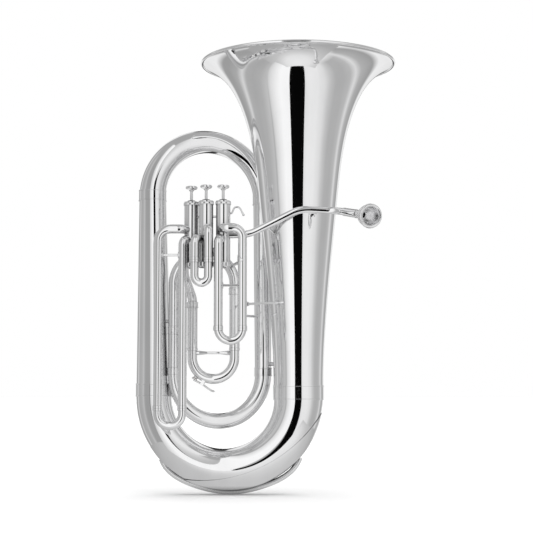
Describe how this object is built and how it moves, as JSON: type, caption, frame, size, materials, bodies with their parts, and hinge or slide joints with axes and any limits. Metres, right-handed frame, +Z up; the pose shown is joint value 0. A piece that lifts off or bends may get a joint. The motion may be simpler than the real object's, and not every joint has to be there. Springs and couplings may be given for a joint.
{
  "type": "tuba",
  "caption": "Upright silver-plated tuba with top-action piston valves, looped slides, wide flared bell and curved leadpipe with mouthpiece.",
  "frame": {"origin": "the lowest point of the rib under the bottom bow, in the plane of the bell's axis", "axes": "+Z up along the bell's axis towards the rim, -Y towards the player and the valves, +X from the outer branch towards the bell"},
  "size_m": [0.4909, 0.4035, 0.817],
  "materials": {
    "silver_plate": "polished silver plate",
    "piston_nickel": "lapped",
    "spring_steel": "drawn wire",
    "rim_wire_brass": "plain",
    "grey_felt": "felt",
    "cork": "natural",
    "pearl": "pearl inlay"
  },
  "bodies": {
    "instrument": {"bell_tail": "silver_plate", "bell_body": "silver_plate", "bell_flare": "silver_plate", "bell_ferrule": "silver_plate", "bottom_bow": "silver_plate", "bow_guard": "silver_plate", "bow_guard_rib": "silver_plate", "outer_branch": "silver_plate", "outer_branch_ferrule": "silver_plate", "top_bow": "silver_plate", "top_bow_ferrules": "silver_plate", "inner_branch": "silver_plate", "inner_bow": "silver_plate", "inner_bow_ferrules": "silver_plate", "inner_tube": "silver_plate", "crossover_arch": "silver_plate", "crossover_ferrules": "silver_plate", "valve_exit_tube": "silver_plate", "tuning_slide_sleeves": "silver_plate", "valve_casing_1": "silver_plate", "valve_casing_2": "silver_plate", "valve_casing_3": "silver_plate", "valve_top_caps": "silver_plate", "valve_bottom_caps": "silver_plate", "valve_knuckles": "silver_plate", "slide_1_tubes": "silver_plate", "slide_2_tubes": "silver_plate", "slide_3_tubes": "silver_plate", "leadpipe": "silver_plate", "mouthpiece_receiver": "silver_plate", "finger_hook": "silver_plate", "slide_braces": "silver_plate", "body_braces": "silver_plate", "leadpipe_braces": "silver_plate", "valve_spring_1": "spring_steel", "valve_spring_2": "spring_steel", "valve_spring_3": "spring_steel", "bell_rim_wire": "rim_wire_brass", "valve_felts": "grey_felt"},
    "valve_1": {"valve_piston_1": "piston_nickel", "valve_stem_1": "silver_plate", "valve_button_1": "silver_plate"},
    "valve_2": {"valve_piston_2": "piston_nickel", "valve_stem_2": "silver_plate", "valve_button_2": "silver_plate"},
    "valve_3": {"valve_piston_3": "piston_nickel", "valve_stem_3": "silver_plate", "valve_button_3": "silver_plate"},
    "tuning_slide": {"tuning_slide_bow": "silver_plate", "tuning_slide_brace": "silver_plate", "water_key_nipple": "silver_plate", "water_key_saddle": "silver_plate", "water_key_pin": "silver_plate", "water_key_spring": "spring_steel"},
    "water_key": {"water_key_lever": "silver_plate", "water_key_cork": "cork"},
    "slide_1": {"slide_1_bow": "silver_plate"},
    "slide_2": {"slide_2_bow": "silver_plate"},
    "slide_3": {"slide_3_bow": "silver_plate"},
    "mouthpiece": {"mouthpiece": "silver_plate"}
  },
  "joints": [
    {"name": "valve_1_press", "type": "slide", "parent": "instrument", "child": "valve_1", "axis": [0, 0, -1], "range_m": [0, 0.0175], "stiffness_N_per_m": 200, "springref_m": -0.015, "deforming": ["valve_spring_1"]},
    {"name": "valve_2_press", "type": "slide", "parent": "instrument", "child": "valve_2", "axis": [0, 0, -1], "range_m": [0, 0.0175], "stiffness_N_per_m": 200, "springref_m": -0.015, "deforming": ["valve_spring_2"]},
    {"name": "valve_3_press", "type": "slide", "parent": "instrument", "child": "valve_3", "axis": [0, 0, -1], "range_m": [0, 0.0175], "stiffness_N_per_m": 200, "springref_m": -0.015, "deforming": ["valve_spring_3"]},
    {"name": "tuning_slide_pull", "type": "slide", "parent": "instrument", "child": "tuning_slide", "axis": [0, 0, -1], "range_m": [0, 0.036]},
    {"name": "slide_1_pull", "type": "slide", "parent": "instrument", "child": "slide_1", "axis": [0, 0, -1], "range_m": [0, 0.06]},
    {"name": "slide_2_pull", "type": "slide", "parent": "instrument", "child": "slide_2", "axis": [0, 0, -1], "range_m": [0, 0.02]},
    {"name": "slide_3_pull", "type": "slide", "parent": "instrument", "child": "slide_3", "axis": [0, 0, -1], "range_m": [0, 0.08]},
    {"name": "mouthpiece_pull", "type": "slide", "parent": "instrument", "child": "mouthpiece", "axis": [0.3695, -0.9109, -0.1838], "range_m": [0, 0.045]},
    {"name": "water_key_lift", "type": "hinge", "parent": "tuning_slide", "child": "water_key", "pos_m": [-0.0516, -0.024, 0.2053], "axis": [0, -1, 0], "range_deg": [0, 18], "stiffness_Nm_per_rad": 0.05, "springref_deg": -34.38}
  ]
}
